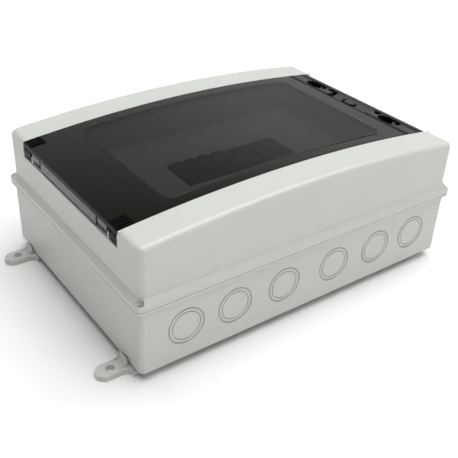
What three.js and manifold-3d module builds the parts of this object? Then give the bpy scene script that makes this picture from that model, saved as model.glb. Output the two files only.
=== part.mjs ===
// A direct-current combiner box: a grey moulded enclosure with a smoked hinged door, lying on its
// back. Millimetres, +Z out of the wall, X along the long side, origin under the middle of the box.
import * as THREE from 'three';
import { mergeVertices } from 'three/addons/utils/BufferGeometryUtils.js';
import Module from 'manifold-3d';

const wasm = await Module();
wasm.setup();

// Driving dimensions of the enclosure
const flange = { x: 205, y: 145, corner: 5.5, edge: 92, top: 98 };  // the joint between the halves
const base = { x: 201.6, y: 141.6, corner: 6, back: 9.5, rim: 83, top: 86.5 };
const cover = { x: 200.2, y: 140.2, corner: 8, bottom: 86.8, end: 149.2, crown: 161.4 };
const wall = 3;
const gap = 0.3;

// The door, the tray under it and the hinge
const door = { left: -199.8, right: 192.2, y: 102.2, thick: 3 };
const well = { y: 102.7, depth: 3.6 };                       // the bed that the door lies in
const tray = { left: -178, right: 186, y: 92, corner: 12, floor: 119.5 };
const doorPad = { left: -143, right: 142, y: 89, corner: 15, proud: 0.6 };  // the raised clear field
const skirt = { thick: 2.5, middle: 61, inner: 64, outer: 82.2 };           // hangs at the hinge end
const hinge = { x: -195.5, z: 136.5, pin: 1.5, bore: 1.56, knuckle: 4.2 };
const ear = { inner: 82.8, outer: 85.3, half: 3.6 };         // the cover's, in which a pin sits
const arm = { inner: 86, outer: 101.8, reach: 3.2 };         // the door's, on the same pin
const pinSpan = { inner: 82.6, outer: 107.2, relief: 0.2 };
const trough = { right: -189.5, floor: 131.1 };
const lockRail = { left: 164, right: 185.6, y: 81, bottom: 137 };
const lock = { x: 176.5, y: 63, halfWidth: 8.8, halfLength: 16, shank: 3, bore: 3.2 };
const grip = { y: 33, pocket: 39, radius: 15, lift: 13 };    // the groove between the finger wells
const keeper = { half: 11, reach: 9, bottom: 127, top: 130, hole: 4.4, slot: 7.5, slotHalf: 2 };
const seal = { out: 2.3, grooveHalf: 1.3, half: 1.1, grooveDepth: 1.5, depth: 1.4 };
const shelfTop = 139.2;                                      // the step outside the tray's lock end

// Entries and wall lugs
const entry = { radius: 19.6, z: 49.3, columns: [-152, -95.5, -34, 34, 95.5, 152] };
const lug = { y: 111.5, halfWidth: 9.5, tip: 233.5, thick: 6.5, hole: 4.1, holeX: 218.5, screwX: 184 };
const groove = { half: 0.5, depth: 0.7 };                    // the ring that bounds each entry
const boss = { radius: 6, height: 15, core: 2.3 };           // takes a lug's screw from behind
const corner = { x: 200.8, y: 140.8, face: 4.3, faceZ: 92.6, cup: 3.1, seat: 89.4, clear: 2.3, core: 2.1 };
const gasket = { inset: 2.2, half: 0.75, sealHalf: 0.6, depth: 2 };

// Inside: rail, eight modules and their terminals
const rail = { half: 110, fixing: 100, top: 60.5, depth: 7.5, sheet: 1, halfWidth: 17.5, webHalf: 12.5 };
const pitch = 18;
const moduleWidth = 17.7;
const device = { y: 42.5, noseY: 22.5, shoulder: rail.top + 44, nose: rail.top + 60 };
const claw = { outer: 21.5, drop: 4, seat: 0.2 };            // holds a module on the rail
const cartridge = { bottom: 86.3, play: 0.3, gripFrom: 20.5, gripBottom: 112, gripTop: 116 };
const busTongue = { half: 2, tip: -39.2, bottom: 80.5, top: 83.5 };
const window = { x: pitch * 4 + 1, y: 25 };                   // the cut-out in the tray's floor
const terminal = { z: 82, half: 4, depth: 3.8 };
const drawer = { pivotY: -19.5, pivotZ: 116.5, half: 6.7, bay: 100.5 };
const link = { radius: 5.15, from: -14.2, to: 20.2, z: 108.5 };  // a fuse of 10 x 38 mm class
const toggle = { z: 114.5, radius: 5.4, lever: 15, tilt: 38 };

const earth = { half: 56, y: 104, bottom: 34, top: 44, size: 10, fixing: 51.5, ways: 10, spacing: 9.4 };

const finish = {
  shell: { color: 0xd9dbd6, roughness: 0.42, metalness: 0 },
  smoked: { color: 0x2b2b28, roughness: 0.1, metalness: 0 },
  rubber: { color: 0x1c1c1c, roughness: 0.85, metalness: 0 },
  steel: { color: 0xb9bcbe, roughness: 0.35, metalness: 1 },
  black: { color: 0x26272a, roughness: 0.5, metalness: 0 },
  ceramic: { color: 0xe9e6dc, roughness: 0.4, metalness: 0 },
  copper: { color: 0xb87348, roughness: 0.35, metalness: 1 },
  brass: { color: 0xc6a557, roughness: 0.35, metalness: 1 },
};

const object = new THREE.Group();

// Solids made from three.js geometry.
function solid(geometry) {
  const bare = geometry.clone();
  bare.deleteAttribute('normal');
  bare.deleteAttribute('uv');
  const merged = mergeVertices(bare, 1e-4);
  return new wasm.Manifold(new wasm.Mesh({
    numProp: 3,
    vertProperties: Float32Array.from(merged.attributes.position.array),
    triVerts: Uint32Array.from(merged.index.array),
  }));
}

function box(x0, x1, y0, y1, z0, z1) {
  const geometry = new THREE.BoxGeometry(x1 - x0, y1 - y0, z1 - z0);
  geometry.translate((x0 + x1) / 2, (y0 + y1) / 2, (z0 + z1) / 2);
  return solid(geometry);
}

// A round bar along 'x', 'y' or 'z', from one end to the other along that axis.
function bar(axis, radius, from, to, a, b, sides = 16) {
  const geometry = new THREE.CylinderGeometry(radius, radius, to - from, sides);
  const middle = (from + to) / 2;
  if (axis === 'x') geometry.rotateZ(Math.PI / 2).translate(middle, a, b);
  if (axis === 'y') geometry.translate(a, middle, b);
  if (axis === 'z') geometry.rotateX(Math.PI / 2).translate(a, b, middle);
  return solid(geometry);
}

function roundedOutline(x0, x1, y0, y1, radius) {
  const shape = new THREE.Shape();
  shape.moveTo(x0 + radius, y0);
  shape.lineTo(x1 - radius, y0);
  shape.absarc(x1 - radius, y0 + radius, radius, -Math.PI / 2, 0);
  shape.absarc(x1 - radius, y1 - radius, radius, 0, Math.PI / 2);
  shape.absarc(x0 + radius, y1 - radius, radius, Math.PI / 2, Math.PI);
  shape.absarc(x0 + radius, y0 + radius, radius, Math.PI, Math.PI * 1.5);
  return shape;
}

// A flat outline in XY raised from z0 to z1.
function raised(shape, z0, z1, curveSegments = 4) {
  const geometry = new THREE.ExtrudeGeometry(shape, { depth: z1 - z0, bevelEnabled: false, curveSegments });
  geometry.translate(0, 0, z0);
  return solid(geometry);
}

function block(x, y, radius, z0, z1) {
  return raised(roundedOutline(-x, x, -y, y, radius), z0, z1);
}

// An outline in XZ carried across from y0 to y1.
function across(shape, y0, y1, curveSegments = 8) {
  const geometry = new THREE.ExtrudeGeometry(shape, { depth: y1 - y0, bevelEnabled: false, curveSegments });
  geometry.rotateX(Math.PI / 2).translate(0, y1, 0);
  return solid(geometry);
}

// The crowned top: an arc along X, sunk below the outer surface by a depth.
const rise = cover.crown - cover.end;
const crownRadius = (cover.x ** 2 + rise ** 2) / (2 * rise);
const crownCentre = cover.crown - crownRadius;

function crownHeight(x, depth = 0) {
  return crownCentre + Math.sqrt((crownRadius - depth) ** 2 - x * x);
}

// All that lies below the crown sunk by one depth, above the crown sunk by another.
function crownLayer(x0, x1, y0, y1, upper, lower) {
  const top = crownRadius - upper;
  const shape = new THREE.Shape();
  const angle = (x, r) => Math.acos(x / r);
  shape.moveTo(x1, lower === null ? 0 : crownHeight(x1, lower));
  shape.lineTo(x1, crownHeight(x1, upper));
  shape.absarc(0, crownCentre, top, angle(x1, top), angle(x0, top));
  if (lower === null) {
    shape.lineTo(x0, 0);
  } else {
    const under = crownRadius - lower;
    shape.lineTo(x0, crownHeight(x0, lower));
    shape.absarc(0, crownCentre, under, angle(x0, under), angle(x1, under), true);
  }
  return across(shape, y0, y1);
}

function join(...parts) {
  return parts.reduce((sum, part) => sum.add(part));
}

function cut(body, ...tools) {
  return tools.reduce((left, tool) => left.subtract(tool), body);
}

function addNode(name, body, look) {
  const mesh = body.getMesh();
  const geometry = new THREE.BufferGeometry();
  geometry.setAttribute('position', new THREE.BufferAttribute(mesh.vertProperties, 3));
  geometry.setIndex(new THREE.BufferAttribute(mesh.triVerts, 1));
  geometry.computeVertexNormals();
  const node = new THREE.Mesh(geometry, new THREE.MeshStandardMaterial(finish[look]));
  node.name = name;
  object.add(node);
}

const sides = [['front', -1], ['rear', 1]];
const ends = [['left', -1], ['right', 1]];

// Two distances from the middle, taken to one side of it, lowest first.
function span(side, near, far) {
  return [side * near, side * far].sort((a, b) => a - b);
}

function forEachCorner(place) {
  for (const [end, sx] of ends) for (const [side, sy] of sides) place(`${side}_${end}`, sx, sy);
}

// The cover's flange falls from the foot of its walls to a low outer edge.
function coverFlange() {
  const edge = block(flange.x, flange.y, flange.corner, cover.bottom, flange.edge);
  const foot = block(cover.x + gap, cover.y + gap, cover.corner + gap, flange.edge, flange.top);
  return wasm.Manifold.hull([edge, foot]);
}

function entryGroove(x, side) {
  const [from, to] = span(side, base.y - groove.depth, base.y + 0.5);
  return bar('y', entry.radius + groove.half, from, to, x, entry.z, 20)
    .subtract(bar('y', entry.radius - groove.half, from - 1, to + 1, x, entry.z, 20));
}

function backBox() {
  let body = block(base.x, base.y, base.corner, base.back, base.rim + 1);
  body = body.add(block(flange.x, flange.y, flange.corner, base.rim, base.top));
  body = cut(body,
    block(base.x - wall, base.y - wall, base.corner - wall, base.back + wall, base.top + 1),
    gasketRing(gasket.half, base.top - gasket.depth, base.top + 1));
  forEachCorner((name, sx, sy) => {
    // A boss behind each lug takes its screw, and the corner pads take the cover's.
    const [lugX, lugY] = [sx * lug.screwX, sy * lug.y];
    body = body.add(bar('z', boss.radius, base.back + 1, base.back + boss.height, lugX, lugY));
    body = cut(body,
      bar('z', corner.core, base.rim + 0.5, base.top + 1, sx * corner.x, sy * corner.y),
      bar('z', boss.core, base.back - 1, base.back + boss.height - 2.5, lugX, lugY));
  });
  for (const [, sy] of sides) for (const x of entry.columns) body = body.subtract(entryGroove(x, sy));
  return body;
}

// The seal between the halves runs in the rim, inside the corner screws.
function gasketRing(halfWidth, z0, z1) {
  const [x, y] = [base.x - gasket.inset, base.y - gasket.inset];
  const ring = (offset) => block(x + offset, y + offset, base.corner - 2 + offset, z0, z1);
  return ring(halfWidth).subtract(ring(-halfWidth));
}

function trayBlock(grow, z0) {
  const outline = roundedOutline(tray.left - grow, tray.right + grow, -tray.y - grow, tray.y + grow,
    tray.corner + grow);
  return raised(outline, z0, cover.crown + 5);
}

function frontCover() {
  const outer = block(cover.x, cover.y, cover.corner, cover.bottom, cover.crown + 5);
  const room = block(cover.x - wall, cover.y - wall, cover.corner - wall, cover.bottom - 1, cover.crown);
  const under = (depth) => crownLayer(-cover.x - 5, cover.x + 5, -cover.y - 5, cover.y + 5, depth, null);
  let body = outer.intersect(under(0)).subtract(room.intersect(under(wall)));
  body = body.add(coverFlange().subtract(room));

  // The bed of the door, its cheeks, the hinge trough and the tray with the module window
  const bedEnd = cover.x + 5;
  const bed = crownLayer(-bedEnd, bedEnd, -well.y - wall, well.y + wall, 0, well.depth + wall);
  const troughBlock = box(-cover.x + 1, trough.right + wall, -well.y - 6, well.y + 6, trough.floor - wall,
    cover.end);
  const shelfBlock = box(tray.right, cover.x - 1, -well.y - 2, well.y + 2, shelfTop - wall, cover.end);
  const filled = join(body, bed.intersect(outer), troughBlock.intersect(under(wall)),
    shelfBlock.intersect(under(wall)), trayBlock(wall, tray.floor - wall).intersect(under(well.depth)));
  const doorSpace = box(-bedEnd, bedEnd, -well.y, well.y, 0, cover.crown + 5)
    .subtract(under(well.depth));
  body = cut(filled, doorSpace,
    trayBlock(0, tray.floor),
    box(-bedEnd, trough.right, -well.y, well.y, trough.floor, cover.crown),
    box(tray.right + 4.5, bedEnd, -well.y, well.y, shelfTop, cover.crown),
    box(-window.x, window.x, -window.y, window.y, tray.floor - wall - 1, tray.floor + 1),
    doorSealRing(seal.grooveHalf, well.depth + seal.grooveDepth, 0));

  for (const [, sy] of sides) {
    // Each hinge pin sits in an ear standing in the trough and in the cheek beside it.
    const earY = span(sy, ear.inner, ear.outer);
    body = join(body, box(hinge.x - ear.half, hinge.x + ear.half, ...earY, trough.floor - 1, hinge.z),
      bar('y', ear.half, ...earY, hinge.x, hinge.z));
    body = body.subtract(pinBar(hinge.bore, sy, pinSpan.outer + pinSpan.relief));
    // A keeper on the tray's wall holds the key of each closing screw.
    const [low, high] = [keeper.bottom - 1, keeper.top + 1];
    const lockY = sy * lock.y;
    const plate = box(lock.x - keeper.reach, tray.right + 1, lockY - keeper.half, lockY + keeper.half,
      keeper.bottom, keeper.top);
    const slot = box(lock.x - keeper.slot, lock.x + keeper.slot, lockY - keeper.slotHalf,
      lockY + keeper.slotHalf, low, high);
    body = body.add(cut(plate, bar('z', keeper.hole, low, high, lock.x, lockY), slot));
  }
  forEachCorner((name, sx, sy) => {
    // Each screw has a flat face let into the slope, and a cup for its head.
    const [x, y] = [sx * corner.x, sy * corner.y];
    const face = bar('z', corner.face, corner.faceZ, flange.top + 1, x, y).subtract(outer);
    body = cut(body, face, bar('z', corner.cup, corner.seat, flange.top + 1, x, y).subtract(outer),
      bar('z', corner.clear, cover.bottom - 1, corner.seat + 1, x, y));
  });
  return body;
}

function pinBar(radius, side, reach) {
  return bar('y', radius, ...span(side, pinSpan.inner, reach), hinge.x, hinge.z);
}

// A ring round the tray's mouth that follows the crown.
function doorSealRing(halfWidth, lower, upper) {
  const ring = (offset) => trayBlock(seal.out + offset, 100);
  return ring(halfWidth).subtract(ring(-halfWidth))
    .intersect(crownLayer(-cover.x, cover.x, -cover.y, cover.y, upper, lower));
}

function coverScrew(sx, sy) {
  const [x, y] = [sx * corner.x, sy * corner.y];
  const { seat, cup } = corner;
  const head = bar('z', cup - gap, seat + 0.1, seat + 2.2, x, y, 12);
  const slot = box(x - 2.2, x + 2.2, y - 0.5, y + 0.5, seat + 1.1, seat + 3);
  return join(head, bar('z', 1.9, base.rim + 0.8, seat + 1, x, y, 10)).subtract(slot);
}

// The door: crowned panel, raised clear field, hinge skirt and arms, and the rail with the locks.
function doorPanel() {
  let body = crownLayer(door.left, door.right, -door.y, door.y, 0, door.thick);
  const { left, right, y, corner: round, proud } = doorPad;
  const pad = raised(roundedOutline(left, right, -y, y, round), 100, 200);
  body = body.add(pad.intersect(crownLayer(left - 5, right + 5, -y - 5, y + 5, -proud, 1)));
  const hang = (y0, y1, bottom) => box(door.left, door.left + skirt.thick, y0, y1, bottom, cover.end - 1);
  body = body.add(hang(-skirt.middle, skirt.middle, trough.floor + 2.4));
  body = body.add(box(tray.right + 5, door.right, -door.y, door.y, shelfTop + 1, cover.end));
  for (const [, sy] of sides) {
    const armY = span(sy, arm.inner, arm.outer);
    body = join(body, hang(...span(sy, skirt.inner, skirt.outer), trough.floor + 6.5),
      box(door.left, hinge.x + arm.reach, ...armY, hinge.z, cover.end - 1),
      bar('y', hinge.knuckle, ...armY, hinge.x, hinge.z));
    // The ears of the cover need room under the door's edge.
    body = cut(body, pinBar(hinge.bore, sy, pinSpan.outer - pinSpan.relief),
      box(door.left - 1, hinge.x + 5, ...span(sy, skirt.outer + 0.1, arm.inner - 0.1), 120, hinge.z + 6));
  }
  const block = box(lockRail.left, lockRail.right, -lockRail.y, lockRail.y, lockRail.bottom, cover.end + 1);
  return cutLockRail(body.add(block));
}

// Two oval finger wells hold the closing screws, with a grip groove and its end pockets between.
function cutLockRail(body) {
  let left = body;
  for (const [, sy] of sides) {
    const oval = new THREE.Shape();
    oval.absellipse(lock.x, sy * lock.y, lock.halfWidth, lock.halfLength, 0, Math.PI * 2);
    left = cut(left, raised(oval, lockRail.bottom + 2, cover.crown + 5, 28),
      bar('z', lock.bore, 100, 160, lock.x, sy * lock.y),
      box(lock.x - 6.5, lock.x + 7.5, ...span(sy, grip.y, grip.pocket), lockRail.bottom + 4, 170));
  }
  return left.subtract(bar('y', grip.radius, -grip.y, grip.y, lock.x, cover.end + grip.lift, 40));
}

function closingScrew(sy) {
  const y = sy * lock.y;
  const head = join(bar('z', 6.6, 139.2, 143.5, lock.x, y), bar('z', lock.shank, 124, 140, lock.x, y));
  const key = box(lock.x - 6.8, lock.x + 6.8, y - 1.5, y + 1.5, 124, 126.6);
  return head.add(key).subtract(box(lock.x - 5, lock.x + 5, y - 0.8, y + 0.8, 141.8, 145));
}

// A wall lug in plan, from under the enclosure out to its cut-off corners.
function lugOutline() {
  const w = lug.halfWidth;
  const shape = new THREE.Shape();
  const shoulder = base.x + 0.5;
  shape.moveTo(lug.tip - 6, -w);
  shape.lineTo(lug.tip, -w + 6);
  shape.lineTo(lug.tip, w - 6);
  shape.lineTo(lug.tip - 6, w);
  shape.lineTo(shoulder + 8, w);
  shape.quadraticCurveTo(shoulder + 1, w, shoulder, w + 8);
  shape.lineTo(172, w + 8);
  shape.lineTo(172, -w - 8);
  shape.lineTo(shoulder, -w - 8);
  shape.quadraticCurveTo(shoulder + 1, -w, shoulder + 8, -w);
  return shape;
}

function wallLug(sx, sy) {
  const plate = raised(lugOutline(), 0, lug.thick);
  const pad = box(172, base.x - 1.5, -lug.halfWidth - 8, lug.halfWidth + 8, lug.thick - 1, base.back - gap);
  // The tongue stands against the enclosure's wall in a hollow curve.
  const tongue = new THREE.Shape();
  const face = base.x + gap;
  tongue.moveTo(face, lug.thick - 1);
  tongue.lineTo(face + 7, lug.thick - 1);
  tongue.lineTo(face + 6, lug.thick);
  tongue.quadraticCurveTo(face + 2.2, lug.thick + 1, face + 1.6, lug.thick + 8);
  tongue.lineTo(face, lug.thick + 8);
  const body = cut(join(plate, pad, across(tongue, -6.5, 6.5, 4)),
    bar('z', lug.hole, -1, lug.thick + 1, lug.holeX, 0),
    bar('z', 2.8, -1, base.back + 1, lug.screwX, 0),
    bar('z', 5.6, -1, 3.6, lug.screwX, 0));
  return turned(body, sx).translate(0, sy * lug.y, 0);
}

// Half a turn about Z for the pieces at the left end.
function turned(body, sx) {
  return sx < 0 ? body.rotate(0, 0, 180) : body;
}

function lugScrew(sx, sy) {
  const screw = join(bar('z', 5.2, 0.8, 3.4, lug.screwX, 0, 12),
    bar('z', 2.1, 3, base.back + 12, lug.screwX, 0, 10));
  return turned(screw.subtract(box(lug.screwX - 3.5, lug.screwX + 3.5, -0.6, 0.6, 0, 1.8)), sx)
    .translate(0, sy * lug.y, 0);
}

// Top-hat rail of the 35 mm class: web, two walls and two flanges.
function dinRail() {
  const { half, top, depth, sheet, halfWidth, webHalf } = rail;
  const back = top - depth;
  const body = join(box(-half, half, -webHalf, webHalf, back, back + sheet),
    box(-half, half, -webHalf, -webHalf + sheet, back, top),
    box(-half, half, webHalf - sheet, webHalf, back, top),
    box(-half, half, -halfWidth, -webHalf + sheet, top - sheet, top),
    box(-half, half, webHalf - sheet, halfWidth, top - sheet, top));
  return cut(body, ...ends.map(([, sx]) => bar('z', 2.3, back - 1, back + 2, sx * rail.fixing, 0)));
}

function railSupport(x) {
  const top = rail.top - rail.depth - 0.1;
  const foot = box(x - 10, x + 10, -20, 20, base.back + wall + 0.1, base.back + wall + 5);
  return join(foot, box(x - 7, x + 7, -12, 12, base.back + wall + 1, top))
    .subtract(bar('z', 1.9, top - 18, top + 1, x, 0));
}

function railScrew(x) {
  const seat = rail.top - rail.depth + rail.sheet + 0.1;
  return join(bar('z', 4, seat, seat + 2.4, x, 0), bar('z', 1.7, seat - 14, seat + 1, x, 0, 10))
    .subtract(box(x - 3, x + 3, -0.5, 0.5, seat + 1.2, seat + 4));
}

// A block that stands on the rail, with a claw over each of the rail's edges.
function clawed(x0, x1, y, top) {
  const hook = (sy) => box(x0, x1, ...span(sy, rail.halfWidth + gap, claw.outer),
    rail.top - claw.drop, rail.top + 1);
  return join(box(x0, x1, -y, y, rail.top + claw.seat, top), hook(-1), hook(1));
}

// A module's lower body, with a terminal mouth at each end of each pole.
function moduleBody(x0, x1, poles) {
  let body = clawed(x0, x1, device.y, device.shoulder);
  const { half, z, depth } = terminal;
  for (const x of poles) {
    for (const [, sy] of sides) {
      body = cut(body,
        box(x - half, x + half, ...span(sy, device.y - depth, device.y + 1), z - half, z + half),
        bar('z', 2.8, device.shoulder - 3, device.shoulder + 1, x, sy * (device.y - 7), 8));
    }
  }
  return body;
}

function poleCentres(first, count) {
  return Array.from({ length: count }, (_, i) => (first + i - 3.5) * pitch);
}

function fuseBase(x) {
  const half = moduleWidth / 2;
  let body = moduleBody(x - half, x + half, [x]);
  body = body.add(box(x - half, x + half, -device.noseY, device.noseY, device.shoulder - 1, device.nose));
  const bay = box(x - drawer.half - gap, x + drawer.half + gap, -device.noseY - 1, device.noseY + 1,
    drawer.bay, device.nose + 1);
  return body.subtract(bay);
}

// The drawer swings out about its lower end and carries the fuse link in an open cradle.
function fuseDrawer(x) {
  const profile = new THREE.Shape();
  const { pivotY, pivotZ } = drawer;
  profile.moveTo(pivotY, pivotZ - 3);
  profile.lineTo(pivotY + 3, drawer.bay + 0.8);
  profile.lineTo(device.noseY - 3, drawer.bay + 0.8);
  profile.lineTo(device.noseY, drawer.bay + 6);
  profile.lineTo(device.noseY, device.nose + 2.5);
  profile.lineTo(device.noseY - 5, device.nose + 2.5);
  profile.lineTo(device.noseY - 7, device.nose);
  profile.lineTo(pivotY, device.nose - 1);
  profile.absarc(pivotY, pivotZ, 3, Math.PI / 2, Math.PI * 1.5);
  // The outline is drawn in YZ, so it is turned to run along X.
  const geometry = new THREE.ExtrudeGeometry(profile, { depth: drawer.half * 2, bevelEnabled: false,
    curveSegments: 6 });
  geometry.applyMatrix4(new THREE.Matrix4().makeBasis(
    new THREE.Vector3(0, 1, 0), new THREE.Vector3(0, 0, 1), new THREE.Vector3(1, 0, 0)));
  geometry.translate(x - drawer.half, 0, 0);
  return cut(solid(geometry), bar('y', link.radius + 0.25, link.from - gap, link.to + gap, x, link.z, 20),
    box(x - 4.4, x + 4.4, link.from - gap, link.to + gap, 90, link.z));
}

function fuseLink(x) {
  return bar('y', link.radius, link.from, link.to, x, link.z, 20);
}

function breakerBody(x0, x1, poles) {
  let body = moduleBody(x0, x1, poles);
  body = body.add(box(x0, x1, -device.noseY, device.noseY, device.shoulder - 1, device.nose));
  return body.subtract(box(x0 + 3, x1 - 3, -7.4, 7.4, toggle.z - 6, device.nose + 1));
}

function breakerToggle(x0, x1) {
  const lever = box(x0 + 6, x1 - 6, -1.8, 1.8, 3, toggle.lever).rotate(-toggle.tilt, 0, 0);
  return bar('x', toggle.radius, x0 + 3.4, x1 - 3.4, 0, toggle.z)
    .add(lever.translate(0, 0, toggle.z));
}

function arresterBase(x0, x1, poles) {
  return moduleBody(x0, x1, poles)
    .subtract(box(x0 - 1, x1 + 1, -device.noseY - gap, device.noseY + gap, cartridge.bottom - gap,
      device.nose));
}

function arresterCartridge(x) {
  const { bottom, play, gripFrom, gripBottom, gripTop } = cartridge;
  const half = moduleWidth / 2 - play;
  const body = box(x - half, x + half, -device.noseY, device.noseY, bottom, device.nose);
  const gripCut = (sy) => box(x - half - 1, x + half + 1, ...span(sy, gripFrom, device.noseY + 2.5),
    gripBottom, gripTop);
  const blade = (y) => box(x - 3, x + 3, y - 0.8, y + 0.8, bottom - 0.1, bottom + 3.7);
  return join(cut(body, gripCut(-1), gripCut(1)), blade(-12), blade(12));
}

function endStop(x) {
  return clawed(x - 4, x + 4, 24, rail.top + 24)
    .subtract(bar('z', 2.4, rail.top + 14, rail.top + 25, x, 0, 16));
}

// A flat copper strip with one tongue into each terminal that it feeds.
function busbar(y, lowest, poles) {
  const reach = 3;
  let body = box(Math.min(...poles) - reach, Math.max(...poles) + reach, y - 1, y + 1, lowest, 95);
  const { half, tip, bottom, top } = busTongue;
  const tongueTop = Math.max(top, lowest + 1);
  for (const x of poles) body = body.add(box(x - half, x + half, y - 1, tip, bottom, tongueTop));
  return body;
}

function earthBar() {
  const { half, y, bottom, top, size, fixing, ways, spacing } = earth;
  let body = box(-half, half, y - size / 2, y + size / 2, bottom, top);
  for (let i = 0; i < ways; i += 1) {
    const x = (i - (ways - 1) / 2) * spacing;
    body = cut(body, bar('y', 2.6, y - size, y + size, x, bottom + 5, 8),
      bar('z', 1.8, bottom + 5, top + 1, x, y, 8));
  }
  return cut(body, ...ends.map(([, sx]) => bar('z', 2.3, bottom - 1, top + 1, sx * fixing, y)));
}

function earthBarStand(x) {
  return box(x - 6, x + 6, earth.y - 8, earth.y + 8, base.back + wall + 0.1, earth.bottom - 0.2)
    .subtract(bar('z', 1.9, 20, earth.bottom + 1, x, earth.y));
}

function earthBarScrew(x) {
  const seat = earth.top + 0.2;
  return join(bar('z', 3.8, seat, seat + 2.4, x, earth.y), bar('z', 1.7, 24, seat + 1, x, earth.y, 10))
    .subtract(box(x - 3, x + 3, earth.y - 0.5, earth.y + 0.5, seat + 1.4, seat + 4));
}

addNode('back_box', backBox(), 'shell');
addNode('front_cover', frontCover(), 'shell');
const gasketBottom = base.top - gasket.depth + 0.1;
addNode('cover_gasket', gasketRing(gasket.sealHalf, gasketBottom, cover.bottom - 0.1), 'rubber');
addNode('door', doorPanel(), 'smoked');
addNode('door_gasket', doorSealRing(seal.half, well.depth + seal.depth, door.thick + 0.1), 'rubber');

for (const [side, sy] of sides) {
  addNode(`hinge_pin_${side}`, pinBar(hinge.pin, sy, 107.2), 'steel');
  addNode(`closing_screw_${side}`, closingScrew(sy), 'black');
}

forEachCorner((name, sx, sy) => {
  addNode(`cover_screw_${name}`, coverScrew(sx, sy), 'shell');
  addNode(`wall_lug_${name}`, wallLug(sx, sy), 'shell');
  addNode(`lug_screw_${name}`, lugScrew(sx, sy), 'steel');
});

addNode('din_rail', dinRail(), 'steel');
for (const [end, sx] of ends) {
  addNode(`rail_support_${end}`, railSupport(sx * rail.fixing), 'black');
  addNode(`rail_screw_${end}`, railScrew(sx * rail.fixing), 'steel');
  addNode(`end_stop_${end}`, endStop(sx * (pitch * 4 + 5)), 'black');
  addNode(`earth_bar_stand_${end}`, earthBarStand(sx * earth.fixing), 'black');
  addNode(`earth_bar_screw_${end}`, earthBarScrew(sx * earth.fixing), 'steel');
}

poleCentres(0, 4).forEach((x, i) => {
  addNode(`fuse_base_${i + 1}`, fuseBase(x), 'black');
  addNode(`fuse_drawer_${i + 1}`, fuseDrawer(x), 'black');
  addNode(`fuse_link_${i + 1}`, fuseLink(x), 'ceramic');
});

const breakerPoles = poleCentres(4, 2);
const arresterPoles = poleCentres(6, 2);
const edges = (poles) => [poles[0] - moduleWidth / 2, poles[1] + moduleWidth / 2];
addNode('breaker_body', breakerBody(...edges(breakerPoles), breakerPoles), 'black');
addNode('breaker_toggle', breakerToggle(...edges(breakerPoles)), 'black');
addNode('surge_arrester_base', arresterBase(...edges(arresterPoles), arresterPoles), 'black');
arresterPoles.forEach((x, i) => addNode(`surge_cartridge_${i + 1}`, arresterCartridge(x), 'black'));

const fusePoles = poleCentres(0, 4);
addNode('positive_busbar', busbar(-50, 80.5, [fusePoles[0], fusePoles[1], breakerPoles[0]]), 'copper');
addNode('negative_busbar', busbar(-45.5, 84.4, [fusePoles[2], fusePoles[3], breakerPoles[1]]), 'copper');
addNode('earth_bar', earthBar(), 'brass');

export default object;
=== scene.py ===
import math
import bmesh
import bpy
from mathutils import Matrix, Vector


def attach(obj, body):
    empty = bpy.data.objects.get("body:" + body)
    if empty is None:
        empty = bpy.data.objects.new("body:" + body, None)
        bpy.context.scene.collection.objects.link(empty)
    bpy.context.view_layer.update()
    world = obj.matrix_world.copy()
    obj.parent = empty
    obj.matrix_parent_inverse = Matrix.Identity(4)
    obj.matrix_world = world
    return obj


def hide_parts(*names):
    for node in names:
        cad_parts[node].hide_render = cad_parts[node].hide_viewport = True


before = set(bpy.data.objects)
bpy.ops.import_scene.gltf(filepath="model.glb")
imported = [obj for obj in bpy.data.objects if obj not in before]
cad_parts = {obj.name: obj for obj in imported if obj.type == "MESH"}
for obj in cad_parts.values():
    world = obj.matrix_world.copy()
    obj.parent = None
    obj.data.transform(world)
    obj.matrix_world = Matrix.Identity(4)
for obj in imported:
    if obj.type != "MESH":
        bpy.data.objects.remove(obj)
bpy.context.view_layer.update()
mm = 0.001

# camera, floor and light

viewpoint = {
    "aim": (5.4, 7.6, 22.2),      # mm, the point in the middle of the picture
    "distance": 888,
    "azimuth": -37.15,
    "elevation": 32.49,
    "roll": 2.745,
    "lens": 58.2,
    "sensor": 36,
}

studio = {
    "floorHalf": 6.0,             # metres, as are all places here
    "floorColour": "FAFAF9",
    "floorRough": 0.9,
    "glowFrom": 0.6, "glowTo": 2.2, "glow": 1.05,
    "key": {"place": (0.5, -0.3, 3.2), "size": 4.0, "power": 170},
    "front": {"place": (0.3, -2.4, 0.8), "size": 1.4, "power": 2.0},
    "sky": 0.06,
    "backdrop": 0.5,              # added to the sky low down behind the object
    "backdropLow": 0.34, "backdropHigh": 0.68, "backdropWay": (0.6, 0.8, 0), "backdropFade": 0.6,
}


def toLinear(code):
    parts = [int(code[i:i + 2], 16) / 255 for i in (0, 2, 4)]
    return [p / 12.92 if p <= 0.04045 else ((p + 0.055) / 1.055) ** 2.4 for p in parts] + [1.0]


def addNode(tree, kind, values=None, links=None, **settings):
    made = tree.nodes.new("ShaderNode" + kind)
    for key, value in settings.items():
        setattr(made, key, value)
    for key, value in (values or {}).items():
        made.inputs[key].default_value = value
    for key, source in (links or {}).items():
        tree.links.new(source, made.inputs[key])
    return made


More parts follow.
